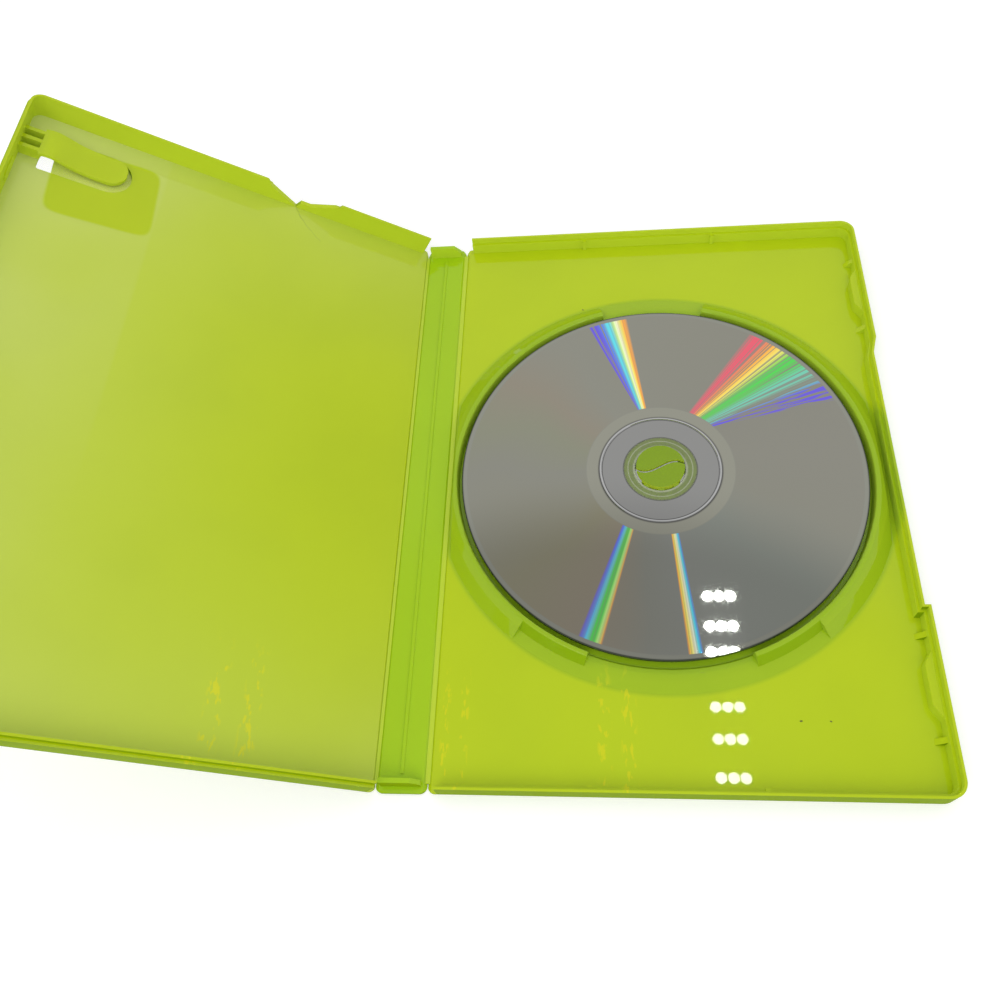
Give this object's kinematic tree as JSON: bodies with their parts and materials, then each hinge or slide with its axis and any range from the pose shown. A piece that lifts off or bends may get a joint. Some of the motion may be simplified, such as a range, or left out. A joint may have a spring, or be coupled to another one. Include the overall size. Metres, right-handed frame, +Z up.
{
  "type": "game disc case",
  "caption": "Open book-style disc case of translucent green plastic: walled tray with a disc on a split hub, folding spine, raised cover with booklet clips and clear film sleeve.",
  "frame": {"origin": "on the hub axis, at the flat surface that the case lies on", "axes": "+X from the spine towards the tray's opening edge, +Y towards the top of the case, +Z up, out of the open tray"},
  "size_m": [0.2601, 0.19, 0.0768],
  "materials": {
    "tray_plastic": "translucent yellow-green polypropylene, glossy",
    "cover_plastic": "translucent yellow-green polypropylene, glossy",
    "disc_data_side": "mirrored data side with a rainbow sheen and a clear centre",
    "clear_film": "thin clear film"
  },
  "bodies": {
    "tray": {"tray": "tray_plastic", "disc": "disc_data_side", "sleeve_back": "clear_film"},
    "hub_top": {"hub_half_top": "tray_plastic"},
    "hub_bottom": {"hub_half_bottom": "tray_plastic"},
    "spine": {"spine": "tray_plastic", "sleeve_spine": "clear_film"},
    "cover": {"front_cover": "cover_plastic", "sleeve_front": "clear_film"}
  },
  "joints": [
    {"name": "tray_fold", "type": "hinge", "parent": "tray", "child": "spine", "pos_m": [-0.0643, 0, 0.00015], "axis": [0, 1, 0], "range_deg": [0, 90]},
    {"name": "cover_fold", "type": "hinge", "parent": "spine", "child": "cover", "pos_m": [-0.0783, 0, 0.00015], "axis": [0, 1, 0], "range_deg": [-31.6, 58.4]},
    {"name": "hub_press_top", "type": "hinge", "parent": "tray", "child": "hub_top", "pos_m": [0, 0.0067, 0.0033], "axis": [1, 0, 0], "range_deg": [0, 9], "stiffness_Nm_per_rad": 0.2},
    {"name": "hub_press_bottom", "type": "hinge", "parent": "tray", "child": "hub_bottom", "pos_m": [0, -0.0067, 0.0033], "axis": [-1, 0, 0], "range_deg": [0, 9], "stiffness_Nm_per_rad": 0.2}
  ]
}
